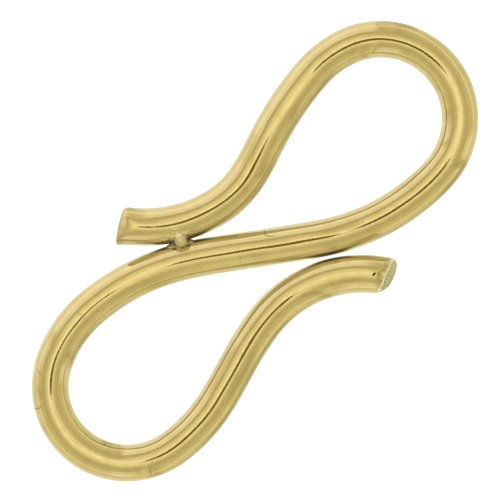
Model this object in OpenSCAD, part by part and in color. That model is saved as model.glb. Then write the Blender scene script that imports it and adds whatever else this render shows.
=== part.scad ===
// Hook clasp: one length of round wire bent into a flat S, lying on its side.
// One loop is shut, and its tip is soldered to the waist under a small bead.
// The other loop is the hook, left open for a ring to slip in.

/* [Wire] */
// Diameter of the round wire
wire_d = 1.6; // [1.5:0.05:1.7]
// Length of the nearly straight waist between the two loops
waist_l = 4; // [3.8:0.1:4.4]

/* [Shut loop] */
// Radius of the crown, along the middle of the wire
shut_crown_r = 3.37; // [3.3:0.01:3.5]
// Space left between the tip arm and the waist where they nearly touch
shut_gap = 0.02; // [0.01:0.01:0.06]
// Length of the tip arm past the solder joint
shut_tip_l = 2.4; // [2:0.1:3]

/* [Hook loop] */
// Radius of the crown, along the middle of the wire
hook_crown_r = 3.25; // [3.2:0.01:3.4]
// Turn of the last bend, which sets the mouth and the length of the hook's tip
hook_tip_turn = 67; // [60:1:72]

/* [Tips] */
// Height of the filed bevel on the shut tip
shut_bevel_h = 0.22; // [0.1:0.02:0.3]
// Height of the worn bevel around the hook tip's nipped face
nip_bevel_h = 0.1; // [0.06:0.02:0.2]
// Angle of the nipped face across the wire, in the plane of the S
nip_slant = 12; // [0:1:18]
// Angle by which the nipped face looks up
nip_tilt = 12; // [0:1:18]
// Length of the pit in the wire behind the hook tip
pit_l = 0.22; // [0.16:0.02:0.3]

/* [Solder joint] */
// Diameter of the bead on the joint
bead_d = 0.76; // [0.7:0.02:0.9]
// Diameter of the solder that fills the groove under the bead
fill_d = 1.1; // [1:0.05:1.2]
// Diameter of the lump of solder that ran up the tip arm
lump_d = 0.9; // [0.8:0.05:1]

/* [Hidden] */

wire_r = wire_d / 2;
bead_r = bead_d / 2;

// Heading of the waist on its way to the hook loop, with the long axis of the S along X
waist_heading = 143.6;
// The waist is bent so little that it looks straight
waist_r = 400;
waist_turn = rounded(waist_l / waist_r * 180 / PI, 0.001);

// Columns of a bend
RADIUS = 0;
TURN = 1;
// Columns of a pose on the middle line of the wire
X = 0;
Y = 1;
HEADING = 2;

// Rows of the lip of the shut loop, the waist, and the flank that the lip lies against
LIP = 0;
WAIST = 8;
FLANK = 10;

// The lip turns the wire from the throat to the joint, and on to the tip
lip_r = 5.8;
throat_to_joint_turn = 18.5;
lip_turn = rounded(throat_to_joint_turn + (shut_tip_l - shut_bevel_h) / lip_r * 180 / PI, 0.1);

// Every bend from the shut tip to the hook tip: its radius, and its turn to the left in degrees
function bends(crown_turn) = [
  [lip_r, lip_turn],            // lip of the shut loop, with its tip
  [4.2, 29],                    // throat
  [15.9, 4],
  [14.7, -15],                  // side that leans out to the crown
  [4.4, -22],
  [shut_crown_r, -crown_turn],  // crown
  [6.2, -7],
  [9.2, -34],                   // side that comes back to the waist
  [waist_r, -waist_turn],       // waist
  [24, 4],
  [9.1, 28],                    // flank of the hook loop, which the lip lies against
  [5.4, 27],
  [hook_crown_r, 147],          // crown
  [6.9, 25],
  [48, 2],                      // side that leans in to the mouth
  [13.8, -8],
  [5.2, -hook_tip_turn]         // mouth of the hook, with its tip
];

function rounded(v, step) = round(v / step) * step;
function ahead(heading) = [cos(heading), sin(heading)];
function left_of(heading) = [-sin(heading), cos(heading)];
function place(pose) = [pose[X], pose[Y]];

// Middle of a bend's circle, for a wire that comes into it at the given pose
function centre(pose, bend) = place(pose) + sign(bend[TURN]) * bend[RADIUS] * left_of(pose[HEADING]);
// Pose at the end of a bend
function after(pose, bend) = let (
  out = pose[HEADING] + bend[TURN],
  end = centre(pose, bend) - sign(bend[TURN]) * bend[RADIUS] * left_of(out)
) [end[X], end[Y], out];
// Poses at which the wire comes into each bend, and the one at its far tip
function poses(rows, first) = [
  for (i = 0, at = first; i <= len(rows); at = i < len(rows) ? after(at, rows[i]) : at, i = i + 1) at
];
// Sum of the turns of the bends up to one of them
function turn_up_to(rows, i) = i < 0 ? 0 : turn_up_to(rows, i - 1) + rows[i][TURN];
function route(rows) = poses(rows, [0, 0, waist_heading - turn_up_to(rows, WAIST - 1)]);

// Room between the lip and the flank, for a given turn of the shut loop's crown
function room(crown_turn) = let (
  rows = bends(crown_turn),
  at = route(rows),
  apart = norm(centre(at[LIP], rows[LIP]) - centre(at[FLANK], rows[FLANK]))
) apart - rows[LIP][RADIUS] - rows[FLANK][RADIUS] - wire_d;
// Turn that closes the loop to the gap, found by halving the range that it lies in
function closing_turn(low, high, tries) = let (
  middle = (low + high) / 2
) tries == 0 ? rounded(middle, 0.001) : room(middle) > shut_gap
    ? closing_turn(middle, high, tries - 1)
    : closing_turn(low, middle, tries - 1);

wire_bends = bends(closing_turn(145, 170, 18));
wire_poses = route(wire_bends);
LAST = len(wire_bends) - 1;

// Lowest angle of a bend around its own centre
function start_angle(i) = let (
  turn = wire_bends[i][TURN]
) wire_poses[i][HEADING] + (turn > 0 ? -90 : 90 + turn);
// Angle within the bend that lies nearest to a direction
function nearest_angle(i, way) = let (
  swept = abs(wire_bends[i][TURN]),
  into = ((way - start_angle(i)) % 360 + 360) % 360
) start_angle(i) + (into <= swept ? into : into - swept < 360 - into ? swept : 0);
// How far the wire reaches along a direction, in one bend and in all
function bend_reach(i, way) = let (
  facing = ahead(way) * ahead(nearest_angle(i, way))
) ahead(way) * centre(wire_poses[i], wire_bends[i]) + wire_bends[i][RADIUS] * facing + wire_r * abs(facing);
function reach(way) = max([for (i = [0 : LAST]) bend_reach(i, way)]);
middle = [(reach(0) - reach(180)) / 2, (reach(90) - reach(270)) / 2];

// The joint, where the tip arm and the flank run closest
arm_centre = centre(wire_poses[LIP], wire_bends[LIP]);
flank_centre = centre(wire_poses[FLANK], wire_bends[FLANK]);
across = (flank_centre - arm_centre) / norm(flank_centre - arm_centre);
along = [across[Y], -across[X]];
joint = arm_centre + (wire_bends[LIP][RADIUS] + wire_r + shut_gap / 2) * across;

// The bead sits in the groove between the lip and the flank, sunk a little into the solder
bead_sunk = 0.04;
bead_aside = 0.08;
bead_along = 0.08;
bead_z = wire_r + sqrt(pow(wire_r + bead_r, 2) - pow(wire_r + shut_gap / 2, 2)) - bead_sunk;
fill_z = wire_r + 0.3;
lump_aside = 0.3;
lump_along = -0.2;
lump_z = wire_r + 0.5;

// The last bend is made long enough for its slanted face to be cut from it
nip_run_on = 6;
// The pit, back from the nipped face and at an angle to the wire
pit_back = 0.52;
pit_turn = 50;
pit_d = 0.14;
pit_sunk = 0.05;

// Moves its children from the route's own origin to the middle of the clasp.
// The move is made in a coarse and a fine step, which keeps the ends of the bends face to face.
module put(point) {
  from_middle = point - middle;
  coarse = [rounded(from_middle[X], 0.01), rounded(from_middle[Y], 0.01)];
  translate([coarse[X], coarse[Y], wire_r])
    translate(from_middle - coarse)
      children();
}

// One bend of the wire, run on past its end by some degrees
module wire_bend(i, run_on = 0) {
  put(centre(wire_poses[i], wire_bends[i]))
    rotate_extrude(
      angle = abs(wire_bends[i][TURN]) + run_on,
      start = start_angle(i) - (wire_bends[i][TURN] < 0 ? run_on : 0),
      $fn = 128
    )
      translate([wire_bends[i][RADIUS], 0])
        circle(d = wire_d, $fn = 64);
}

// Bevelled cap on a tip, looking along X and let into the wire behind it
module bevel(h, face_r) {
  foot_r = 0.96 * wire_r;
  let_in = 0.1;
  rotate([0, 90, 0])
    rotate_extrude($fn = 64)
      polygon([
        [0, -let_in],
        [foot_r - let_in / 2, -let_in],
        [foot_r, 0],
        [(foot_r + face_r) / 2, 0.7 * h],
        [face_r, h],
        [0, h]
      ]);
}

module shut_tip() {
  wire_bend(0);
  put(place(wire_poses[0]))
    rotate(wire_poses[0][HEADING] + 180)
      bevel(shut_bevel_h, 0.6 * wire_r);
}

// Moves its children to the nipped face of the hook tip, looking out along X
module at_nip() {
  put(place(wire_poses[LAST + 1]))
    rotate(wire_poses[LAST + 1][HEADING])
      rotate([0, -nip_tilt, -nip_slant])
        children();
}

module pit() {
  put(place(wire_poses[LAST + 1]))
    rotate(wire_poses[LAST + 1][HEADING])
      translate([-pit_back, 0, wire_r + pit_d / 2 - pit_sunk])
        rotate(pit_turn)
          rotate([0, 90, 0])
            cylinder(d = pit_d, h = pit_l, center = true, $fn = 32);
}

module hook_tip() {
  side = 2 * wire_d;
  difference() {
    wire_bend(LAST, nip_run_on);
    at_nip()
      translate([0, -side / 2, -side / 2])
        cube(side);
    pit();
  }
  at_nip()
    bevel(nip_bevel_h, 0.8 * wire_r);
}

module loops() {
  for (i = [1 : LAST - 1])
    wire_bend(i);
}

// A ball on the joint, set aside towards the tip arm and along the groove towards the shut loop
module ball(d, aside, on, height) {
  put(joint - aside * across + on * along)
    translate([0, 0, height - wire_r])
      sphere(d = d, $fn = 96);
}

module solder_joint() {
  ball(bead_d, bead_aside, bead_along, bead_z);
  ball(fill_d, 0, 0, fill_z);
  ball(lump_d, lump_aside, lump_along, lump_z);
}

module s_hook() {
  color([0.87, 0.78, 0.5]) {
    shut_tip();
    loops();
    hook_tip();
    solder_joint();
  }
}

s_hook();
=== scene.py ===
import math

import bmesh
import bpy
import numpy as np
from mathutils import Matrix, Vector, kdtree


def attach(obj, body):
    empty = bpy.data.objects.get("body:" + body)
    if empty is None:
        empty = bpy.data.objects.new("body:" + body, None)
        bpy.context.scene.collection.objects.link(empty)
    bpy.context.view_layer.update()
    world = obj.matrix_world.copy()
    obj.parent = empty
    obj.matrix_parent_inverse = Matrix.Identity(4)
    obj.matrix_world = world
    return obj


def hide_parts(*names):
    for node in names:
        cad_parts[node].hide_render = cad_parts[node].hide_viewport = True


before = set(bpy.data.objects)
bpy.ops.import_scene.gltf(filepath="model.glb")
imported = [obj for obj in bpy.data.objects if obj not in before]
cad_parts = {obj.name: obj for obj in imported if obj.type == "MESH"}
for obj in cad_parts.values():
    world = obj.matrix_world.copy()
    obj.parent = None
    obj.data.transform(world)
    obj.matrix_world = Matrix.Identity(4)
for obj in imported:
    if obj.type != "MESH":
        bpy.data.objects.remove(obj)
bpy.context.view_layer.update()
print("frame loaded")

mm = 0.001

# Straight above the clasp, turned so that its long axis runs up to the right
cameraView = {
    "turn": 45.728,             # degrees from the picture's right to the clasp's +X
    "target": (-0.1, 0.196),    # point of the clasp in the middle of the picture, mm
    "across": 21.164,           # width of the picture at the middle of the wire, mm
    "wireMiddle": 0.8,          # height of the middle of the wire, mm
    "height": 200.0,            # above the middle of the wire, mm
}


def makeCamera():
    data = bpy.data.cameras.new("photoCamera")
    data.sensor_width = 36.0
    data.lens = 36.0 * cameraView["height"] / cameraView["across"]
    data.clip_start, data.clip_end = 0.005, 20.0
    camera = bpy.data.objects.new("photoCamera", data)
    bpy.context.scene.collection.objects.link(camera)
    x, y = cameraView["target"]
    camera.location = (x * mm, y * mm, (cameraView["wireMiddle"] + cameraView["height"]) * mm)
    camera.rotation_euler = (0, 0, -math.radians(cameraView["turn"]))
    bpy.context.scene.camera = camera


makeCamera()

# The wire from the shut tip to the hook tip, bent as the solid is, in mm and degrees
wire = {
    "radius": 0.8,
    "start": (-3.07416, 4.74355, 305.557),       # x, y, heading
    "bends": [                                   # radius, turn to the left
        (5.8, 40), (4.2, 29), (15.9, 4), (14.7, -15), (4.4, -22), (3.37, -156.957),
        (6.2, -7), (9.2, -34), (400, -0.573), (24, 4), (9.1, 28), (5.4, 27),
        (3.25, 147), (6.9, 25), (48, 2), (13.8, -8), (5.2, -67),
    ],
    "runOn": 0.8,         # length added past each end, for the tips to be shaped from
    "step": 0.02,         # of the middle line
    "ease": 0.25,         # length over which one bend passes into the next
    "lift": [             # length along, lift off the floor: the loops aren't quite flat
        (-1, 0.15), (7.1, 0.15), (11.4, -0.05), (17.3, -0.05), (21.7, 0.13), (26.1, 0.11),
        (27.7, 0.22), (34.4, 0.22), (36.9, 0.12), (42.3, 0.145), (43.2, 0.235), (44.6, 0.32),
        (46.3, 0.38), (48.1, 0.43), (57.5, 0.12), (59.5, 0.265), (61.8, 0.435), (63, 0.53),
    ],
    "liftEase": 0.45,     # length over which one lift passes into the next
    "thickness": [        # length along, share of the radius: bending thins the crowns
        (-1, 1.0), (6, 0.995), (12, 0.985), (20, 0.975), (27, 0.985), (34, 0.995),
        (40, 0.985), (50, 0.985), (57, 1.0), (60, 1.01), (62.6, 1.01),
    ],
    "sides": 96,
    "ring": 0.1,          # length between rings
    "waves": 40,          # slow waves along and around it, left by drawing and bending
    "waveHeight": 0.0009,
    "waveShares": (0.4, 1.0),     # of that height, drawn for each wave
    "waveLengths": (2.0, 7.0),    # along the wire
    "waveCounts": (2, 8),         # around the wire, the last not reached
    "seed": 2970,
}


def smoothed(values, reach):
    # Values along the middle line, each mixed with those within reach
    n = int(4 * reach / wire["step"])
    bell = np.exp(-0.5 * (np.arange(-n, n + 1) * wire["step"] / reach) ** 2)
    return np.convolve(np.pad(values, n, mode="edge"), bell / bell.sum(), mode="valid")


def summed(values):
    # Running sum of values along the middle line
    return np.concatenate([[0], np.cumsum((values[1:] + values[:-1]) / 2 * wire["step"])])


def middleLine():
    lengths = [radius * math.radians(abs(turn)) for radius, turn in wire["bends"]]
    curves = [math.copysign(1 / radius, turn) for radius, turn in wire["bends"]]
    s = np.arange(-wire["runOn"], sum(lengths) + wire["runOn"], wire["step"])     # length along
    which = np.clip(np.searchsorted(np.cumsum(lengths), s), 0, len(curves) - 1)
    first = np.searchsorted(s, 0.0)
    x, y, heading = wire["start"]
    turned = summed(smoothed(np.array(curves)[which], wire["ease"]))
    turn = math.radians(heading) + turned - turned[first]
    px, py = summed(np.cos(turn)), summed(np.sin(turn))
    lift = smoothed(np.interp(s, *np.array(wire["lift"]).T), wire["liftEase"])
    return {
        "s": s,
        "x": x + px - px[first],
        "y": y + py - py[first],
        "z": wire["radius"] + lift,
        "turn": turn,
        "rise": np.arctan(np.gradient(lift, wire["step"])),
        "total": sum(lengths),
    }


line = middleLine()


def onWire(s, across, up):
    # A point beside the middle line: across to the left of travel, and up
    x, y, z, turn, rise = (np.interp(s, line["s"], line[k]) for k in ("x", "y", "z", "turn", "rise"))
    back = np.sin(rise) * up
    return np.stack([
        x - np.sin(turn) * across - np.cos(turn) * back,
        y + np.cos(turn) * across - np.sin(turn) * back,
        z + np.cos(rise) * up,
    ], axis=-1)


def softMax(a, b, soft):
    # The larger of two distances, with the corner between them rounded
    return np.maximum(a, b) + np.maximum(soft - np.abs(a - b), 0) ** 2 / (4 * soft)


def softMin(a, b, soft):
    return -softMax(-a, -b, soft)


def eased(share):
    return share * share * (3 - 2 * share)


def ripples(rows, *places):
    # Waves times waves. Each row has a rate for every place, in radians per mm, and a phase
    height = 1.0
    for *rates, phase in rows:
        height = height * np.sin(sum(rate * place for rate, place in zip(rates, places)) + phase)
    return height


def outTo(origin, way, outside, far, halvings=26):
    # Distance along each ray at which it leaves a solid
    near, far = np.zeros(len(way)), np.full(len(way), float(far))
    for _ in range(halvings):
        half = (near + far) / 2
        out = outside(origin + way * half[:, None]) > 0
        far, near = np.where(out, half, far), np.where(out, near, half)
    return (near + far) / 2


def waveTable():
    draw = np.random.default_rng(wire["seed"])
    n = wire["waves"]
    return {
        "along": 2 * math.pi / draw.uniform(*wire["waveLengths"], n),
        "around": draw.integers(*wire["waveCounts"], n),
        "phase": draw.uniform(0, 2 * math.pi, n),
        "height": draw.uniform(*wire["waveShares"], n) * wire["waveHeight"],
    }


waves = waveTable()


def surfaceRadius(s, angle):
    r = wire["radius"] * np.interp(s, *np.array(wire["thickness"]).T)
    for i in range(wire["waves"]):
        r = r + waves["height"][i] * np.sin(
            waves["along"][i] * s + waves["around"][i] * angle + waves["phase"][i])
    return r


# Shut tip: filed to a long bevel on top, with small corners at the sides and below
shutTip = {
    "start": 1.3,                # rings are level from here
    "reach": -1.6,               # from there to just past the face
    "rows": (60, 20),            # side, face
    "face": (-0.265, -0.2, 0.1),     # its middle along and across, bow
    "worked": (-0.2, 0.4),       # middle and half length of the stretch that tools touched
    "flare": 0.06,               # how far its right side stands out
    "filed": 0.004,              # unevenness that the file left
    "filedRipples": [(7, 5, 1), (-4, 8, 0)],     # along, across, phase
    "corners": [                 # across, up, length, drop, roundness, softness
        (0, 1, 0.98, 0.55, 1.85, 0.07), (1, 0, 0.42, 0.36, 2.0, 0.1),
        (-1, 0, 0.05, 0.05, 2.0, 0.02), (0, -1, 0.13, 0.12, 2.0, 0.02),
    ],
    "dirt": (0.02, 0.12, 0.22, 0.34),    # darker towards the end face: up to here along, slant, fading over, strength
    "paintedHighlight": [(0.03, 0.13, 0.05, 0.35), (0.37, -0.5, 0.055, 0.42)],     # painted highlights: along, across, size, strength
    "paintedHighlightAcross": 1.6,         # how much wider than long these spots are
}


def shutTipOutside(p):
    s, across, up = p[:, 0], p[:, 1], p[:, 2]
    workedAt, half = shutTip["worked"]
    worked = np.exp(-((s - workedAt) / half) ** 2)
    flare = shutTip["flare"] * worked * np.clip(-across / wire["radius"], 0, 1) ** 2
    filed = shutTip["filed"] * worked * ripples(shutTip["filedRipples"], s, across)
    out = np.hypot(across, up) - surfaceRadius(s, np.arctan2(across, up)) - flare
    base, middle, bow = shutTip["face"]
    end = base + bow * (across - middle) ** 2
    for sideways, upward, length, drop, power, soft in shutTip["corners"]:
        rim = wire["radius"] + flare + 0.75 * soft     # keeps the softness off the round of the wire
        under = rim - sideways * across - upward * up
        u = np.clip((end + length - s) / length, 0, None)
        v = np.clip(1 - under / drop, 0, None)
        out = softMax(out, drop * ((u ** power + v ** power) ** (1 / power) - 1) + filed, soft)
    return out


# Hook tip: nipped off, with a pinched furrow behind a steep face
hookTip = {
    "start": 61.0,
    "reach": 1.2,
    "rows": (64, 24),
    "crease": (61.43, -0.1, 0.85),         # length along, across, bow
    "pinch": [                             # past the crease, depth
        (-0.14, 0), (-0.06, 0.006), (0, 0.018), (0.04, 0.03), (0.12, 0.068), (0.17, 0.074),
        (0.24, 0.066), (0.3, 0.07), (0.36, 0.088), (0.42, 0.08), (0.6, 0.06),
    ],
    "pinchTop": (0.35, 0.4),               # how far up the round the pinch starts, and fades in
    "dents": (0.007, 0.06),                # depth, and how soon past the crease they are full
    "dentRipples": [(19, 11, 0), (-7, 23, 1.1)],         # along, across, phase
    "fineRipples": [(27, 31, 0)],
    "fineShare": 0.6,
    "dirt": [(0.1, 0.1, 0.36), (0.34, 0.035, 0.34)],     # past the crease, width, strength
    "dirtRipples": [(9, 26, 0)],
    "dirtUneven": 0.25,
    "face": (62.03, 0.17, -0.1),           # length along at the bottom, slant, bow
    "lean": (0.2, -0.5),                   # how far back the face leans per mm up, from this height
    "worn": 0.03,                          # roundness of the face's edge
    "wornSides": [                         # side, from here across, fading over, roundness added
        (-1, 0.22, 0.42, 0.42), (1, 0.4, 0.35, 0.12),
    ],
    "rim": (1.6, 0.09),                    # strength and width of the highlight painted along the face's edge
    "cut": (0.15, 0.8),                    # past the crease, and how far it looks ahead
}


def pastCrease(s, across):
    creaseAt, creaseMid, bow = hookTip["crease"]
    return s - creaseAt - bow * (across - creaseMid) ** 2


def hookTipSides(s, across, up):
    # How far a point lies outside the pinched wire, and beyond the nipped face
    angle = np.arctan2(across, up)
    past = pastCrease(s, across)
    start, fade = hookTip["pinchTop"]
    onTop = eased(np.clip((np.cos(angle) - start) / fade, 0, 1))
    uneven = ripples(hookTip["dentRipples"], s, across)
    uneven = uneven + hookTip["fineShare"] * ripples(hookTip["fineRipples"], s, across)
    depth, soon = hookTip["dents"]
    dents = depth * uneven * np.clip(past / soon, 0, 1)
    pinch = np.interp(past, *np.array(hookTip["pinch"]).T) + dents
    side = np.hypot(across, up) - surfaceRadius(s, angle) + pinch * onTop
    base, slant, bow = hookTip["face"]
    lean, leanFrom = hookTip["lean"]
    face = s - base - slant * across - bow * across ** 2 + lean * (up - leanFrom)
    return side, face + 0.5 * dents * np.cos(5 * up + 4 * across)


def hookTipOutside(p):
    side, face = hookTipSides(*p.T)
    worn = hookTip["worn"]
    for way, start, fade, added in hookTip["wornSides"]:
        worn = worn + added * np.clip((way * p[:, 1] - start) / fade, 0, 1) ** 2
    return softMax(side, face, worn)


def tipRows(tip, outside, angle):
    # Rays from a point on the middle line, out to the side and then on to the face
    start, reach = tip["start"], tip["reach"]
    sideRows, faceRows = tip["rows"]
    r = wire["radius"]
    n = len(angle)
    far = 2.6        # well outside any tip
    aims = [(reach * i / sideRows, r) for i in range(1, sideRows + 1)]
    aims += [(reach, r * (1 - i / faceRows)) for i in range(1, faceRows)]
    rows = []
    origin = np.tile([start, 0.0, 0.0], (n, 1))
    for ahead, out in aims:
        way = np.stack([np.full(n, ahead), out * np.sin(angle), out * np.cos(angle)], axis=-1)
        way /= np.linalg.norm(way, axis=1)[:, None]
        hit = origin + way * outTo(origin, way, outside, far)[:, None]
        rows.append((hit[:, 0], np.hypot(hit[:, 1], hit[:, 2])))
    forward = math.copysign(1.0, reach)
    pole = start + forward * outTo(origin[:1], np.array([[forward, 0.0, 0.0]]), outside, far)[0]
    return rows, pole


def meshObject(name, points, faces):
    mesh = bpy.data.meshes.new(name)
    mesh.from_pydata([tuple(p) for p in points], [], faces)
    mesh.validate()
    made = bpy.data.objects.new(name, mesh)
    bpy.context.scene.collection.objects.link(made)
    return made


def makeWire():
    n = wire["sides"]
    angle = np.arange(n) * 2 * math.pi / n
    firstRows, firstPole = tipRows(shutTip, shutTipOutside, angle)
    lastRows, lastPole = tipRows(hookTip, hookTipOutside, angle)
    span = hookTip["start"] - shutTip["start"]
    count = int(span / wire["ring"])
    rings = firstRows[::-1]
    for s in np.linspace(shutTip["start"], hookTip["start"], count + 1):
        rings.append((np.full(n, s), surfaceRadius(s, angle)))
    rings += lastRows
    points = [onWire(np.array([firstPole]), 0.0, 0.0)]
    points += [onWire(s, r * np.sin(angle), r * np.cos(angle)) for s, r in rings]
    points.append(onWire(np.array([lastPole]), 0.0, 0.0))
    last = 1 + n * len(rings)
    faces = [(0, 1 + i, 1 + (i + 1) % n) for i in range(n)]
    for ring in range(len(rings) - 1):
        a, b = 1 + ring * n, 1 + (ring + 1) * n
        faces += [(a + i, b + i, b + (i + 1) % n, a + (i + 1) % n) for i in range(n)]
    a = 1 + (len(rings) - 1) * n
    faces += [(a + i, last, a + (i + 1) % n) for i in range(n)]
    return meshObject("goldWire", np.concatenate(points), faces)


# Solder at the joint: a bead on the groove, a fill under it, and a lump that ran up the tip arm
joint = {
    "centre": (-1.79, 2.78, 1.3),
    "bead": (-1.84, 2.575, 1.69, 0.28),              # x, y, z, radius
    "cap": (-1.84, 2.565, 0.945, 1.0),               # the bead's top is flatter than a ball
    "capSoft": 0.03,                                 # roundness of the edge between them
    "balls": [(-1.84, 2.66, 1.15, 0.26), (-1.75, 2.795, 1.37, 0.42)],
    "ballSoft": 0.09,                # how far the balls run into each other
    "meltSoft": 0.09,                # how far they run into the wires
    "wireSoft": 0.04,                # how far the solder fills the groove
    "lumps": 0.007,
    "lumpRipples": [(15, 0, 5, 0), (0, 19, 9, 0.7)],     # x, y, z, phase
    "beadLumps": 0.25,               # share of the lumps that the bead has
    # Dark spots in the crotches beside the bead: flux dirt, with painted shade
    "dirt": [(-2.13, 2.775, 0.14, 0.9), (-1.575, 2.4, 0.12, 0.9)],     # x, y, size, strength
    # Painted highlights on the bead and the lump: x, y, size, strength
    "paintedHighlight": [(-1.914, 2.641, 0.05, 0.5), (-1.837, 2.48, 0.055, 0.5), (-1.595, 2.672, 0.07, 0.4)],
    "sunk": 0.0164,                  # how far its skin lies inside the wires
    "level": 0.68,                   # beyond this the solder dives into the wires
    "dive": 0.85,
    "divisions": 7,
    "far": 2.2,                      # well outside the joint
}

# Pairs of runs of the wire that come close to each other, at the joint and at the mouth
closeRuns = [((0.0, 5.0), (29.5, 35.5)), ((55.5, 62.3), (24.0, 31.0))]
farAway = 9.0        # mm, more than any room beside the wire that matters


def ballsOutside(p, balls):
    outside = farAway
    for x, y, z, r in balls:
        outside = softMin(outside, np.linalg.norm(p - (x, y, z), axis=1) - r, joint["ballSoft"])
    return outside


def jointOutside(p):
    gap = farAway
    for low, high in closeRuns[0]:
        part = (line["s"] > low) & (line["s"] < high)
        strand = np.stack([line[k][part] for k in "xyz"], axis=-1).astype(np.float32)
        q = p.astype(np.float32)
        apart = (q ** 2).sum(1)[:, None] + (strand ** 2).sum(1)[None, :] - 2 * q @ strand.T
        near = np.sqrt(np.maximum(apart.min(axis=1), 0)).astype(float)
        gap = softMin(gap, near - wire["radius"] + joint["sunk"], joint["wireSoft"])
    lumps = joint["lumps"] * ripples(joint["lumpRipples"], *p.T)
    melted = ballsOutside(p, joint["balls"]) + lumps
    bead = softMax(ballsOutside(p, [joint["bead"]]), ballsOutside(p, [joint["cap"]]), joint["capSoft"])
    bead += joint["beadLumps"] * lumps
    away = np.linalg.norm(p - joint["centre"], axis=1)
    dive = joint["dive"] * np.maximum(away - joint["level"], 0) ** 2
    return softMin(gap, softMin(melted, bead, joint["ballSoft"]), joint["meltSoft"]) + dive


def makeSolder():
    bm = bmesh.new()
    bmesh.ops.create_icosphere(bm, subdivisions=joint["divisions"], radius=1.0)
    way = np.array([v.co[:] for v in bm.verts])
    origin = np.tile(joint["centre"], (len(way), 1))
    points = origin + way * outTo(origin, way, jointOutside, joint["far"], 20)[:, None]
    faces = [tuple(v.index for v in f.verts) for f in bm.faces]
    bm.free()
    return meshObject("solder", points, faces)


# A pit in the wire behind the hook tip, given along and across the wire
pit = {
    "from": (61.262, -0.058),
    "to": (61.378, 0.088),
    "overrun": 1.05,             # its ends are round
    "width": 0.09,
    "depth": 0.08,
    "dirt": (0.62, 0.02),        # share of the width that it fills, and how deep it starts
}


def makePit():
    bm = bmesh.new()
    bmesh.ops.create_icosphere(bm, subdivisions=4, radius=1.0)
    ends = np.array([pit["from"], pit["to"]])
    middle, along = ends.mean(axis=0), (ends[1] - ends[0]) / 2
    half = np.linalg.norm(along)
    side = np.array([-along[1], along[0]]) / half * pit["width"] / 2
    ball = np.array([v.co[:] for v in bm.verts])
    flat = middle + ball[:, :1] * along * pit["overrun"] + ball[:, 1:2] * side
    r = surfaceRadius(middle[0], 0.0)
    points = onWire(flat[:, 0], flat[:, 1], r + ball[:, 2] * pit["depth"])
    faces = [tuple(v.index for v in f.verts) for f in bm.faces]
    bm.free()
    return meshObject("pitCutter", points, faces)


def combine(body, other, how):
    step = body.modifiers.new(how, "BOOLEAN")
    step.object, step.operation, step.solver = other, how, "EXACT"
    graph = bpy.context.evaluated_depsgraph_get()
    mesh = bpy.data.meshes.new_from_object(body.evaluated_get(graph))
    body.modifiers.clear()
    body.data = mesh
    bpy.data.objects.remove(other)


finishNames = ("goldWire", "goldSolder", "nippedGold")

clasp = makeWire()
print("wire made:", len(clasp.data.polygons))
solder = makeSolder()
print("solder made:", len(solder.data.polygons))
for part, finish in ((clasp, "goldWire"), (solder, "goldSolder")):
    for name in finishNames:
        part.data.materials.append(bpy.data.materials.get(name) or bpy.data.materials.new(name))
    faceCount = len(part.data.polygons)
    part.data.polygons.foreach_set("material_index", [finishNames.index(finish)] * faceCount)
combine(clasp, solder, "UNION")
combine(clasp, makePit(), "DIFFERENCE")
print("joined:", len(clasp.data.polygons))


def addValues(mesh, name, kind, values):
    layer = mesh.attributes.new(name, kind, "POINT")
    layer.data.foreach_set("vector" if kind == "FLOAT_VECTOR" else "value", np.ravel(values))


def vertexPlaces(mesh):
    points = np.empty(3 * len(mesh.vertices))
    mesh.vertices.foreach_get("co", points)
    return points.reshape(-1, 3)


def treeOf(which):
    # The middle line's points, to find the nearest of them
    tree = kdtree.KDTree(len(which))
    for i in which:
        tree.insert((line["x"][i], line["y"][i], line["z"][i]), i)
    tree.balance()
    return tree


def straightened(points):
    # Where points lie on the wire made straight: along, across to the left, and up
    tree = treeOf(range(len(line["s"])))
    nearest = np.array([tree.find(p)[1] for p in points])
    away = points - np.stack([line[k][nearest] for k in "xyz"], axis=-1)
    turn, rise = line["turn"][nearest], line["rise"][nearest]
    ahead = away[:, 0] * np.cos(turn) + away[:, 1] * np.sin(turn)
    across = away[:, 1] * np.cos(turn) - away[:, 0] * np.sin(turn)
    up = away[:, 2] * np.cos(rise) - ahead * np.sin(rise)
    return line["s"][nearest] + ahead * np.cos(rise), across, up


points = vertexPlaces(clasp.data)
along, across, up = straightened(points)

# Painted shade where runs of wire lie close, with some dirt at the joint, and painted shade low on the
# nipped face's far edge, apart from the places that the tips, the pit and the joint name
shadeAndGrime = {
    "groove": (0.28, 0.19),                 # painted shade: room to the wire beside, fading over
    "farEdge": (0.6, 0.07, -0.4, 0.25),     # of the nipped face, painted shade low on its edge: strength, width, top, fading over
}


def roomBeside():
    # Room between each point and the run of wire that lies beside it
    room = np.full(len(points), farAway)
    for pair in closeRuns:
        for (low, high), other in (pair, pair[::-1]):
            beside = treeOf(np.flatnonzero((line["s"] > other[0]) & (line["s"] < other[1])))
            for i in np.flatnonzero((along > low) & (along < high)):
                room[i] = beside.find(points[i])[2] - wire["radius"]
    return room


def furrowDirt():
    past = pastCrease(along, across)
    share = hookTip["dirtUneven"]
    uneven = 1 - share + share * ripples(hookTip["dirtRipples"], along, across)
    dirt = np.zeros(len(points))
    for middle, width, strength in hookTip["dirt"]:
        dirt = np.maximum(dirt, strength * np.exp(-((past - middle) / width) ** 2))
    return dirt * uneven * np.clip(3 * up, 0, 1)     # on the upper side only


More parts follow.
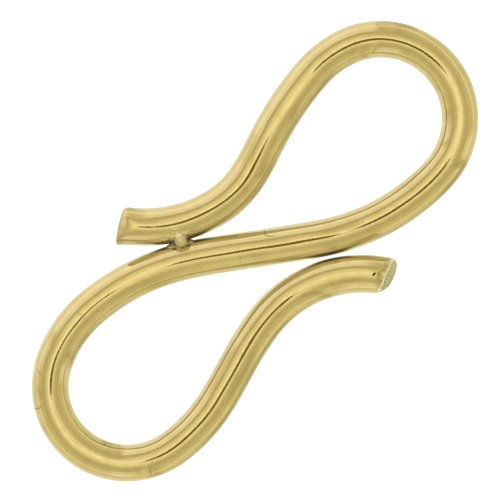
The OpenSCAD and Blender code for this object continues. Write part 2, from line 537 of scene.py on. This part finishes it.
def pitDirt():
    start, end = np.array(pit["from"]), np.array(pit["to"])
    off = np.stack([along, across], axis=-1) - start
    share = np.clip(off @ (end - start) / ((end - start) @ (end - start)), 0, 1)
    apart = np.linalg.norm(off - share[:, None] * (end - start), axis=1)
    sunk = surfaceRadius(along, np.arctan2(across, up)) - np.hypot(across, up)
    reach, depth = pit["dirt"]
    return (apart < reach * pit["width"]) & (sunk > depth) & (up > 0)


def spotsAt(spots):
    # Soft round spots, as seen from above
    shade = np.zeros(len(points))
    for x, y, size, strength in spots:
        off = np.hypot(points[:, 0] - x, points[:, 1] - y) / size
        shade = np.maximum(shade, strength * np.exp(-off ** 2))
    return shade


# Dirt, oxide in the pit, and painted shade between close runs of wire and low on the nipped face
def dirtAndShadePlaces():
    groove, fade = shadeAndGrime["groove"]
    # Painted shade where another run of wire lies close, with some dirt in the joint's wedge
    dirt = np.clip((groove - roomBeside()) / fade, 0, 1)
    face = hookTipSides(along, across, up)[1]
    # Painted shade low on the far edge of the nipped face
    strength, width, top, drop = shadeAndGrime["farEdge"]
    farEdge = strength * np.clip(1 - np.abs(face) / width, 0, 1) * np.clip((top - up) / drop, 0, 1)
    # Darker towards the end face of the shut tip
    edge, slant, fade, strength = shutTip["dirt"]
    shutFace = strength * np.clip((edge - slant * across - along) / fade, 0, 1)
    for more in (furrowDirt(), pitDirt(), farEdge, shutFace, spotsAt(joint["dirt"])):
        dirt = np.maximum(dirt, more)
    return dirt


# Painted highlights along the nipped face's edge, on the shut tip and at the joint
def paintedHighlightPlaces():
    side, face = hookTipSides(along, across, up)
    strength, width = hookTip["rim"]
    upper = np.clip(5 * up, 0, 1)     # none on the underside
    paintedHighlight = upper * np.clip(strength - np.abs(side - face) / width, 0, 1)
    wide = shutTip["paintedHighlightAcross"]
    for atAlong, atAcross, size, strength in shutTip["paintedHighlight"]:
        spot = np.exp(-((along - atAlong) / size) ** 2 - ((across - atAcross) / size / wide) ** 2)
        paintedHighlight = np.maximum(paintedHighlight, strength * spot * (up > 0))
    return np.maximum(paintedHighlight, spotsAt(joint["paintedHighlight"]) * (points[:, 2] > wire["radius"]))


addValues(clasp.data, "wirePlace", "FLOAT_VECTOR", np.stack([along, across, up], axis=-1))
# Dirt and painted shade, one share for each point
addValues(clasp.data, "dirtAndShade", "FLOAT", dirtAndShadePlaces())
# Painted highlights, one share for each point
addValues(clasp.data, "paintedHighlight", "FLOAT", paintedHighlightPlaces())


def nippedFaces(body):
    # The steep face of the hook tip has the finish of a cut
    turn = line["turn"][np.searchsorted(line["s"], line["total"])]
    ahead = Vector((math.cos(turn), math.sin(turn), 0))
    past, facing = hookTip["cut"]
    for face in body.data.polygons:
        if along[face.vertices[0]] > hookTip["crease"][0] + past and face.normal.dot(ahead) > facing:
            face.material_index = finishNames.index("nippedGold")


sharpFrom = 38        # degrees between faces

nippedFaces(clasp)
clasp.data.transform(Matrix.Scale(mm, 4))
clasp.data.shade_smooth()
clasp.data.set_sharp_from_angle(angle=math.radians(sharpFrom))
clasp.name = clasp.data.name = "clasp_wire"
print("places noted")


def addNode(tree, kind, links=None, values=None, **settings):
    made = tree.nodes.new(kind)
    for name, value in settings.items():
        setattr(made, name, value)
    for name, value in (values or {}).items():
        made.inputs[name].default_value = value
    for name, socket in (links or {}).items():
        tree.links.new(socket, made.inputs[name])
    return made


def maths(tree, operation, a, b=None, clamp=False):
    made = addNode(tree, "ShaderNodeMath", operation=operation, use_clamp=clamp)
    for i, item in enumerate((a, b)):
        if isinstance(item, (int, float)):
            made.inputs[i].default_value = item
        elif item is not None:
            tree.links.new(item, made.inputs[i])
    return made.outputs[0]


def mixColour(tree, factor, a, b):
    made = addNode(tree, "ShaderNodeMix", data_type="RGBA")
    tree.links.new(factor, made.inputs["Factor"])
    for name, item in ((6, a), (7, b)):
        if isinstance(item, tuple):
            made.inputs[name].default_value = (*item, 1)
        else:
            tree.links.new(item, made.inputs[name])
    return made.outputs[2]


def newGroup(name, inputs, outputs):
    tree = bpy.data.node_groups.new(name, "ShaderNodeTree")
    for label, kind, value in inputs:
        socket = tree.interface.new_socket(label, in_out="INPUT", socket_type="NodeSocket" + kind)
        socket.default_value = value
    for label, kind in outputs:
        tree.interface.new_socket(label, in_out="OUTPUT", socket_type="NodeSocket" + kind)
    return tree, tree.nodes.new("NodeGroupInput").outputs, tree.nodes.new("NodeGroupOutput").inputs


def ramp(tree, factor, stops):
    made = addNode(tree, "ShaderNodeValToRGB", {"Fac": factor})
    points = made.color_ramp.elements
    while len(points) < len(stops):
        points.new(0.5)
    for point, (place, colour) in zip(points, stops):
        point.position = place
        point.color = (*colour, 1) if isinstance(colour, tuple) else (colour, colour, colour, 1)
    return made.outputs["Color"]


# Soft studio light by direction. Zenith is measured from straight up, azimuth from the clasp's +X
studio = {
    "base": [                        # zenith, brightness
        (0, 0.85), (4, 1.0), (8, 1.0), (12, 0.9), (17, 0.76), (24, 0.65), (30, 0.58), (36, 0.53),
        (42, 0.5), (48, 0.51), (54, 0.56), (60, 0.58), (74, 0.63), (79, 0.66), (84, 0.77), (89, 0.79),
        (95, 0.7), (100, 0.66), (108, 0.64), (116, 0.67), (124, 0.7), (132, 0.72), (140, 0.78),
        (150, 0.9), (180, 0.95),
    ],
    "panels": [                      # azimuth, half width, low, high, edge, brightness added
        (74.5, 32.5, 52, 112, 3, 0.22),
        (116, 11, 54, 110, 5, 0.14),
        (80, 50, 106, 150, 6, 0.13),
        (140, 20, 96, 150, 6, 0.1),
        (200, 40, 104, 140, 8, 0.1),
        (258, 10, 100, 142, 6, 0.06),
        (335, 25, 110, 130, 6, 0.04),
        (270, 36, 155, 181, 8, -0.55),
        (305, 16, 98, 128, 6, 0.08),
        (272, 24, 112, 181, 8, -0.16),
        (32, 14, 110, 181, 8, -0.2),
        (65, 100, 79, 95, 5, 0.06),
        (277, 10, 104, 132, 5, -0.16),
        (240, 9, 115, 136, 6, -0.11),
        (195, 45, -7, 15, 6, -0.14),
        (296, 18, -7, 15, 6, -0.15),
        (345, 30, 128, 181, 8, -0.05),
        (80, 32, 10, 40, 8, 0.11),
        (80, 34, 24, 44, 6, 0.04),
        (235, 62, 20, 46, 8, -0.035),
        (234, 3.5, 16, 74, 3, 0.12),
        (95, 50, 42, 50, 3, -0.05),
        (301, 11, 52, 92, 4, 0.14),
        (219, 13, 52, 95, 4, 0.14),
        (242, 5, 50, 130, 4, -0.1),
        (287, 4, 50, 130, 3, -0.17),
        (31, 3.5, 45, 110, 4, -0.1),
        (135, 4, 50, 100, 4, -0.12),
    ],
    "room": [                        # brightness, colour of the room's light
        (0.0, (0.0, 0.0, 0.0)), (0.2, (0.22, 0.2, 0.1)), (0.5, (0.53, 0.51, 0.4)),
        (0.6, (0.61, 0.59, 0.5)), (0.8, (0.83, 0.81, 0.74)), (1.0, (1.0, 1.0, 1.0)),
    ],
    "panel": [                       # brightness, colour of the light of the lower panels
        (0.0, (0.0, 0.0, 0.0)), (0.6, (0.6, 0.6, 0.6)), (0.8, (0.82, 0.81, 0.92)),
        (1.0, (1.0, 1.0, 1.15)),
    ],
    "lowerFrom": 45,                 # zenith from which a panel is one of them
    "takeOver": 6.0,                 # how fast their colour takes over
    "sideEdge": 7.0,                 # widest soft edge at the sides of a panel
    "waver": (5.0, 0.03),            # unevenness of the edges of the panels: fineness, size
    "offPaper": [                    # zenith, tint of the light that comes up off the paper
        (70, (1.0, 1.0, 1.0)), (96, (0.98, 1.0, 0.99)), (120, (0.94, 1.0, 1.16)),
        (150, (0.94, 1.0, 1.12)),
    ],
    "headroom": 1.5,                 # the tint is divided by this in its ramp, and the light multiplied
    "backdrop": 0.94,
}


def lightPanelGroup():
    tree, given, put = newGroup("lightPanel", [
        ("Zenith", "Float", 0.0), ("Azimuth", "Float", 0.0), ("Middle", "Float", 0.0),
        ("Half Width", "Float", 10.0), ("Low", "Float", 50.0), ("High", "Float", 90.0),
        ("Edge", "Float", 3.0), ("Side Edge", "Float", 5.0), ("Added", "Float", 0.1),
    ], [("Light", "Float")])

    def inside(distance, edge="Edge"):
        step = addNode(tree, "ShaderNodeMapRange", {"Value": distance, "From Max": given[edge]},
                       interpolation_type="SMOOTHSTEP")
        return step.outputs["Result"]

    turned = maths(tree, "SUBTRACT", given["Azimuth"], given["Middle"])
    wrapped = addNode(tree, "ShaderNodeMath", {0: turned}, {1: 180.0, 2: -180.0}, operation="WRAP")
    across = maths(tree, "SUBTRACT", given["Half Width"], maths(tree, "ABSOLUTE", wrapped.outputs[0]))
    pastLow = maths(tree, "SUBTRACT", given["Zenith"], given["Low"])
    beforeHigh = maths(tree, "SUBTRACT", given["High"], given["Zenith"])
    light = maths(tree, "MULTIPLY", inside(across, "Side Edge"), given["Added"])
    light = maths(tree, "MULTIPLY", light, inside(pastLow))
    light = maths(tree, "MULTIPLY", light, inside(beforeHigh))
    tree.links.new(light, put["Light"])
    return tree


def makeStudio():
    world = bpy.data.worlds.new("softStudio")
    bpy.context.scene.world = world
    world.use_nodes = True
    tree = world.node_tree
    tree.nodes.clear()
    toward = addNode(tree, "ShaderNodeTexCoord").outputs["Generated"]
    fineness, size = studio["waver"]
    noise = addNode(tree, "ShaderNodeTexNoise", {"Vector": toward}, {"Scale": fineness, "Detail": 2.0})
    shift = addNode(tree, "ShaderNodeVectorMath", {0: noise.outputs["Color"]}, {1: (0.5, 0.5, 0.5)},
                    operation="SUBTRACT")
    shift = addNode(tree, "ShaderNodeVectorMath", {0: shift.outputs[0]}, {"Scale": size},
                    operation="SCALE")
    wavered = addNode(tree, "ShaderNodeVectorMath", {0: toward, 1: shift.outputs[0]})
    wavered = addNode(tree, "ShaderNodeVectorMath", {0: wavered.outputs[0]}, operation="NORMALIZE")
    toward = wavered.outputs[0]
    axes = addNode(tree, "ShaderNodeSeparateXYZ", {"Vector": toward}).outputs
    zenith = maths(tree, "MULTIPLY", maths(tree, "ARCCOSINE", axes["Z"]), 180 / math.pi)
    azimuth = maths(tree, "MULTIPLY", maths(tree, "ARCTAN2", axes["Y"], axes["X"]), 180 / math.pi)
    light = ramp(tree, maths(tree, "DIVIDE", zenith, 180.0), [(z / 180, e) for z, e in studio["base"]])
    panel, lower = lightPanelGroup(), 0.0
    for middle, half, low, high, edge, added in studio["panels"]:
        values = {"Middle": middle, "Half Width": half, "Low": low, "High": high, "Edge": edge,
                  "Side Edge": min(half, studio["sideEdge"]), "Added": added}
        placed = addNode(tree, "ShaderNodeGroup", {"Zenith": zenith, "Azimuth": azimuth}, values,
                         node_tree=panel).outputs["Light"]
        light = maths(tree, "ADD", light, placed)
        if added > 0 and low > studio["lowerFrom"]:
            lower = maths(tree, "ADD", placed, lower)
    lower = maths(tree, "MULTIPLY", lower, studio["takeOver"], clamp=True)
    tinted = mixColour(tree, lower, ramp(tree, light, studio["room"]), ramp(tree, light, studio["panel"]))
    headroom = studio["headroom"]
    offPaper = ramp(tree, maths(tree, "DIVIDE", zenith, 180.0), [
        (z / 180, tuple(c / headroom for c in colour)) for z, colour in studio["offPaper"]])
    tinted = addNode(tree, "ShaderNodeMix", {6: tinted, 7: offPaper}, {0: 1.0}, data_type="RGBA",
                     blend_type="MULTIPLY").outputs[2]
    lit = addNode(tree, "ShaderNodeBackground", {"Color": tinted}, {"Strength": headroom})
    plain = addNode(tree, "ShaderNodeBackground", values={"Color": (studio["backdrop"],) * 3 + (1,)})
    seen = addNode(tree, "ShaderNodeLightPath").outputs["Is Camera Ray"]
    both = addNode(tree, "ShaderNodeMixShader", {0: seen, 1: lit.outputs[0], 2: plain.outputs[0]})
    addNode(tree, "ShaderNodeOutputWorld", {"Surface": both.outputs[0]})


makeStudio()


# The lens looking down, which the top of the wire mirrors as a thin dark line
lens = {
    "centre": (4.7, -8.0, 199.5),        # mm
    "radius": 24,
    "glow": (0.15, 0.115, 0.03),
}


def makeLens():
    bm = bmesh.new()
    bmesh.ops.create_circle(bm, cap_ends=True, segments=96, radius=lens["radius"] * mm)
    mesh = bpy.data.meshes.new("lensCard")
    bm.to_mesh(mesh)
    bm.free()
    card = bpy.data.objects.new("lensCard", mesh)
    bpy.context.scene.collection.objects.link(card)
    card.location = [c * mm for c in lens["centre"]]
    card.visible_camera = card.visible_diffuse = card.visible_shadow = False
    material = bpy.data.materials.new("lensBlack")
    material.use_nodes = True
    tree = material.node_tree
    tree.nodes.clear()
    glow = addNode(tree, "ShaderNodeEmission", values={"Color": (*lens["glow"], 1)})
    addNode(tree, "ShaderNodeOutputMaterial", {"Surface": glow.outputs[0]})
    mesh.materials.append(material)


makeLens()

floorPlan = {
    "half": 900,         # half of its side, mm
    "paper": 0.8,
    "glow": 0.8,         # keeps it pale beside the bright wire
}


def makeFloor():
    half = floorPlan["half"]
    corners = [(-half, -half, 0), (half, -half, 0), (half, half, 0), (-half, half, 0)]
    floor = meshObject("paperFloor", [[c * mm for c in corner] for corner in corners], [(0, 1, 2, 3)])
    material = bpy.data.materials.new("whitePaper")
    material.use_nodes = True
    shader = material.node_tree.nodes["Principled BSDF"]
    shader.inputs["Base Color"].default_value = (floorPlan["paper"],) * 3 + (1,)
    shader.inputs["Roughness"].default_value = 0.9
    shader.inputs["Specular IOR Level"].default_value = 0.0
    shader.inputs["Emission Color"].default_value = (1, 1, 1, 1)
    shader.inputs["Emission Strength"].default_value = floorPlan["glow"]
    floor.data.materials.append(material)
    floor.visible_glossy = False


makeFloor()
print("studio made")


def drawLinesGroup():
    # Fine lines along the wire, left by the draw plate
    tree, given, put = newGroup("drawLines", [
        ("Place", "Vector", (0.0, 0.0, 0.0)), ("Length", "Float", 0.2), ("Fineness", "Float", 14.0),
    ], [("Lines", "Float")])
    size = addNode(tree, "ShaderNodeCombineXYZ",
                   {"X": given["Length"], "Y": given["Fineness"], "Z": given["Fineness"]})
    spread = addNode(tree, "ShaderNodeVectorMath", {0: given["Place"], 1: size.outputs[0]},
                     operation="MULTIPLY")
    noise = addNode(tree, "ShaderNodeTexNoise", {"Vector": spread.outputs[0]},
                    {"Scale": 1.0, "Detail": 3.0, "Roughness": 0.55})
    tree.links.new(noise.outputs["Fac"], put["Lines"])
    return tree


def grainGroup():
    # The fine unevenness of handled gold
    tree, given, put = newGroup("grain", [
        ("Place", "Vector", (0.0, 0.0, 0.0)), ("Fineness", "Float", 10.0),
    ], [("Grain", "Float")])
    noise = addNode(tree, "ShaderNodeTexNoise", {"Vector": given["Place"], "Scale": given["Fineness"]},
                    {"Detail": 2.0, "Roughness": 0.5})
    tree.links.new(noise.outputs["Fac"], put["Grain"])
    return tree


def cloudGroup():
    # Slow patches of finger marks and tarnish
    tree, given, put = newGroup("clouding", [
        ("Place", "Vector", (0.0, 0.0, 0.0)), ("Size", "Float", 1.0),
        ("From", "Float", 0.45), ("To", "Float", 0.7),
    ], [("Cloud", "Float")])
    scale = maths(tree, "DIVIDE", 1.0, given["Size"])
    noise = addNode(tree, "ShaderNodeTexNoise", {"Vector": given["Place"], "Scale": scale},
                    {"Detail": 4.0, "Roughness": 0.6})
    step = addNode(tree, "ShaderNodeMapRange", {
        "Value": noise.outputs["Fac"], "From Min": given["From"], "From Max": given["To"]})
    tree.links.new(step.outputs["Result"], put["Cloud"])
    return tree


def nickGroup():
    # One short scratch on the top of the wire, between two places on it
    tree, given, put = newGroup("nick", [
        ("Place", "Vector", (0.0, 0.0, 0.0)), ("Start", "Vector", (0.0, 0.0, 0.0)),
        ("End", "Vector", (1.0, 0.0, 0.0)), ("Width", "Float", 0.03), ("Strength", "Float", 1.0),
    ], [("Nick", "Float")])

    def vectors(operation, a, b=None, scale=None, out=0):
        made = addNode(tree, "ShaderNodeVectorMath", operation=operation)
        tree.links.new(a, made.inputs[0])
        if b is not None:
            tree.links.new(b, made.inputs[1])
        if scale is not None:
            tree.links.new(scale, made.inputs["Scale"])
        return made.outputs[out]

    axes = addNode(tree, "ShaderNodeSeparateXYZ", {"Vector": given["Place"]}).outputs
    flat = addNode(tree, "ShaderNodeCombineXYZ", {"X": axes["X"], "Y": axes["Y"]}).outputs[0]
    run = vectors("SUBTRACT", given["End"], given["Start"])
    off = vectors("SUBTRACT", flat, given["Start"])
    share = maths(tree, "DIVIDE", vectors("DOT_PRODUCT", off, run, out=1),
                  vectors("DOT_PRODUCT", run, run, out=1), clamp=True)
    apart = vectors("LENGTH", vectors("SUBTRACT", off, vectors("SCALE", run, scale=share)), out=1)
    near = maths(tree, "SUBTRACT", 1.0, maths(tree, "DIVIDE", apart, given["Width"]), clamp=True)
    top = maths(tree, "GREATER_THAN", axes["Z"], 0.0)
    mark = maths(tree, "MULTIPLY", maths(tree, "MULTIPLY", near, top), given["Strength"])
    tree.links.new(mark, put["Nick"])
    return tree


def undersideGroup():
    # The underside of the wire, on the side that gets the least light
    tree, given, put = newGroup("shadedUnderside", [
        ("Place", "Vector", (0.0, 0.0, 0.0)), ("Facing", "Vector", (0.0, 0.0, 1.0)),
        ("Shaded Side", "Vector", (0.0, -1.0, 0.0)), ("Side Fade", "Float", 0.4),
        ("From Height", "Float", 0.1), ("To Height", "Float", -0.5),
    ], [("Under", "Float")])
    height = addNode(tree, "ShaderNodeSeparateXYZ", {"Vector": given["Place"]}).outputs["Z"]
    low = addNode(tree, "ShaderNodeMapRange", {
        "Value": height, "From Min": given["From Height"], "From Max": given["To Height"]})
    turned = addNode(tree, "ShaderNodeVectorMath", {0: given["Facing"], 1: given["Shaded Side"]},
                     operation="DOT_PRODUCT")
    shaded = addNode(tree, "ShaderNodeMapRange", {
        "Value": turned.outputs["Value"], "From Max": given["Side Fade"]}, {"From Min": 0.0})
    tree.links.new(maths(tree, "MULTIPLY", low.outputs["Result"], shaded.outputs["Result"]), put["Under"])
    return tree


# Marks seen on the wire: start and end, each along and across, then width and strength
nicks = [
    ((30.02, -0.41), (30.27, -0.455), 0.028, 0.9),
    ((30.27, -0.455), (30.37, -0.54), 0.03, 1.0),
    ((30.37, -0.54), (30.37, -0.73), 0.028, 0.9),
    ((42.91, -0.43), (43.0, -0.58), 0.035, 0.8),
    ((43.0, -0.58), (42.97, -0.77), 0.035, 0.8),
    ((46.09, 0.645), (46.15, 0.645), 0.05, 1.0),
    ((48.25, -0.28), (48.17, -0.45), 0.05, 0.4),
    ((48.17, -0.45), (48.18, -0.64), 0.06, 0.5),
    ((55.82, -0.592), (55.76, -0.78), 0.02, 0.6),
    ((6.42, 0.14), (6.95, 0.21), 0.022, 0.6),
    ((38.82, 0.1), (38.86, -0.24), 0.07, 0.35),
    ((14.02, -0.55), (14.2, -0.4), 0.06, 0.4),
    ((14.3, 0.62), (14.5, 0.4), 0.12, 0.25),
    ((21.29, 0.585), (21.6, 0.32), 0.08, 0.35),
    ((41.6, -0.58), (41.76, -0.39), 0.07, 0.3),
    ((58.1, -0.24), (58.72, -0.4), 0.12, 0.25),
    ((58.72, -0.4), (59.2, -0.74), 0.1, 0.28),
]

# The tarnish colour serves both dirt and the painted shade between close runs of wire
finishes = {
    # The mirrored and under colours are painted reflection colours, shown only in mirrors: gold painted
    # paler, and dark on its shaded underside
    "goldWire": {
        "gold": (0.93, 0.76, 0.31), "worn": (0.84, 0.65, 0.22), "blush": (0.93, 0.66, 0.33),
        "tarnishAndShade": (0.09, 0.055, 0.012), "edge": (1.0, 1.0, 1.0),
        "paintedInMirror": (0.76, 0.73, 0.62), "under": (0.32, 0.28, 0.16),
        "roughness": 0.075, "cloudRoughness": 0.05, "cloudSize": 0.65,
        "lineHeight": 1.0, "grainHeight": 2.6, "speck": 0.6, "nicked": True,
    },
    "goldSolder": {
        "gold": (0.93, 0.77, 0.34), "worn": (0.82, 0.64, 0.24), "blush": (0.93, 0.78, 0.42),
        "tarnishAndShade": (0.1, 0.055, 0.012), "edge": (1.0, 1.0, 1.0),
        "paintedInMirror": (0.76, 0.73, 0.62), "under": (0.32, 0.28, 0.16),
        "roughness": 0.09, "cloudRoughness": 0.06, "cloudSize": 0.2,
        "lineHeight": 0.0, "grainHeight": 4.0, "speck": 0.6, "nicked": False,
    },
    "nippedGold": {
        "gold": (0.77, 0.65, 0.32), "worn": (0.34, 0.28, 0.1), "blush": (1.0, 0.91, 0.6),
        "tarnishAndShade": (0.09, 0.07, 0.03), "edge": (0.92, 0.9, 0.62),
        "paintedInMirror": (0.5, 0.48, 0.4), "under": (0.3, 0.28, 0.16),
        "roughness": 0.22, "cloudRoughness": 0.12, "cloudSize": 0.14,
        "lineHeight": 0.1, "grainHeight": 3.0, "speck": 0.5, "nicked": False,
    },
}

# What the three finishes share
ageing = {
    "wornMost": 0.75,            # share of the worn colour where it is strongest
    "blushMost": 0.6,
    "blushFrom": 0.5,            # noise at which the blush starts
    "blushSize": 0.6,            # of its patches, beside the worn ones
    "speck": (0.45, 0.7),        # grain at which specks start, and are full
    # Colour of the painted highlights
    "paintedHighlight": (1.0, 0.94, 0.58),
    "paintedHighlightDull": 0.9,           # shine lost where a highlight is painted
    "dirtAndShadeDull": 0.85,            # shine that dirt and painted shade take away
    "dirtAndShadeRough": 0.5,            # roughness that it adds
    "dirtShine": 0.15,           # how much it mirrors itself
    "nickDirt": 0.8,             # dirt held by the marks
    "nickDepth": 1.5,            # beside the height of the lines and the grain
    "bump": (0.2, 0.002),        # strength, depth in mm
    "shadedSide": (-0.47, -0.88, 0.0),       # way to the side that gets the least light
}

drawLines, grain, clouding = drawLinesGroup(), grainGroup(), cloudGroup()
nick, underside = nickGroup(), undersideGroup()


def nickMarks(tree, place):
    marks = None
    for start, end, width, strength in nicks:
        values = {"Start": (*start, 0), "End": (*end, 0), "Width": width, "Strength": strength}
        mark = addNode(tree, "ShaderNodeGroup", {"Place": place}, values, node_tree=nick).outputs["Nick"]
        marks = mark if marks is None else maths(tree, "MAXIMUM", marks, mark)
    return marks


def patchyColour(tree, look, place, cloud, grains):
    # Clean gold, worn and flushed in patches, with fine specks
    worn = maths(tree, "MULTIPLY", cloud, ageing["wornMost"])
    colour = mixColour(tree, worn, look["gold"], look["worn"])
    values = {"Size": ageing["blushSize"] * look["cloudSize"], "From": ageing["blushFrom"]}
    patch = addNode(tree, "ShaderNodeGroup", {"Place": place}, values, node_tree=clouding)
    blush = maths(tree, "MULTIPLY", patch.outputs["Cloud"], ageing["blushMost"])
    colour = mixColour(tree, blush, colour, look["blush"])
    low, high = ageing["speck"]
    speck = addNode(tree, "ShaderNodeMapRange", {"Value": grains}, {"From Min": low, "From Max": high})
    speck = maths(tree, "MULTIPLY", speck.outputs["Result"], look["speck"])
    return mixColour(tree, speck, colour, look["worn"])


def paintedMirrorColour(tree, look, place):
    # Painted reflection colour: gold seen mirrored in gold is painted paler, and painted dark on its
    # shaded underside
    facing = addNode(tree, "ShaderNodeNewGeometry").outputs["Normal"]
    under = addNode(tree, "ShaderNodeGroup", {"Place": place, "Facing": facing},
                    {"Shaded Side": ageing["shadedSide"]}, node_tree=underside)
    return mixColour(tree, under.outputs["Under"], look["paintedInMirror"], look["under"])


def makeFinish(name):
    look = finishes[name]
    material = bpy.data.materials[name]
    material.use_nodes = True
    tree = material.node_tree
    shader = tree.nodes["Principled BSDF"]
    shader.inputs["Specular Tint"].default_value = (*look["edge"], 1)
    shader.inputs["Specular IOR Level"].default_value = ageing["dirtShine"]
    place = addNode(tree, "ShaderNodeAttribute", attribute_name="wirePlace").outputs["Vector"]
    # Dirt, and painted shade between close runs of wire
    dirt = addNode(tree, "ShaderNodeAttribute", attribute_name="dirtAndShade").outputs["Fac"]
    paintedHighlight = addNode(tree, "ShaderNodeAttribute", attribute_name="paintedHighlight").outputs["Fac"]
    lines = addNode(tree, "ShaderNodeGroup", {"Place": place}, node_tree=drawLines).outputs["Lines"]
    grains = addNode(tree, "ShaderNodeGroup", {"Place": place}, node_tree=grain).outputs["Grain"]
    cloud = addNode(tree, "ShaderNodeGroup", {"Place": place}, {"Size": look["cloudSize"]},
                    node_tree=clouding).outputs["Cloud"]
    height = maths(tree, "MULTIPLY", lines, look["lineHeight"])
    height = maths(tree, "ADD", height, maths(tree, "MULTIPLY", grains, look["grainHeight"]))
    if look["nicked"]:
        marks = nickMarks(tree, place)
        dirt = maths(tree, "MAXIMUM", dirt, maths(tree, "MULTIPLY", marks, ageing["nickDirt"]))
        height = maths(tree, "SUBTRACT", height, maths(tree, "MULTIPLY", marks, ageing["nickDepth"]))

    colour = patchyColour(tree, look, place, cloud, grains)
    # Painted highlights, pale
    colour = mixColour(tree, paintedHighlight, colour, ageing["paintedHighlight"])
    # Parts seen in a mirror get the painted reflection colour
    inMirror = addNode(tree, "ShaderNodeLightPath").outputs["Is Glossy Ray"]
    colour = mixColour(tree, inMirror, colour, paintedMirrorColour(tree, look, place))
    # Dirt and painted shade take the tarnish colour
    tree.links.new(mixColour(tree, dirt, colour, look["tarnishAndShade"]), shader.inputs["Base Color"])

    dirtAndShadeDull = maths(tree, "MULTIPLY", dirt, ageing["dirtAndShadeDull"])
    paintedHighlightDull = maths(tree, "MULTIPLY", paintedHighlight, ageing["paintedHighlightDull"])
    metal = maths(tree, "SUBTRACT", 1.0, maths(tree, "MAXIMUM", dirtAndShadeDull, paintedHighlightDull))
    tree.links.new(metal, shader.inputs["Metallic"])
    rough = maths(tree, "ADD", look["roughness"], maths(tree, "MULTIPLY", cloud, look["cloudRoughness"]))
    rough = maths(tree, "ADD", rough, maths(tree, "MULTIPLY", dirt, ageing["dirtAndShadeRough"]))
    tree.links.new(rough, shader.inputs["Roughness"])
    strength, depth = ageing["bump"]
    bump = addNode(tree, "ShaderNodeBump", {"Height": height},
                   {"Strength": strength, "Distance": depth * mm})
    tree.links.new(bump.outputs["Normal"], shader.inputs["Normal"])


for name in finishes:
    makeFinish(name)
print("finishes made")

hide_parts("s_hook")
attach(clasp, "root")

bpy.context.scene.view_settings.view_transform = "Standard"
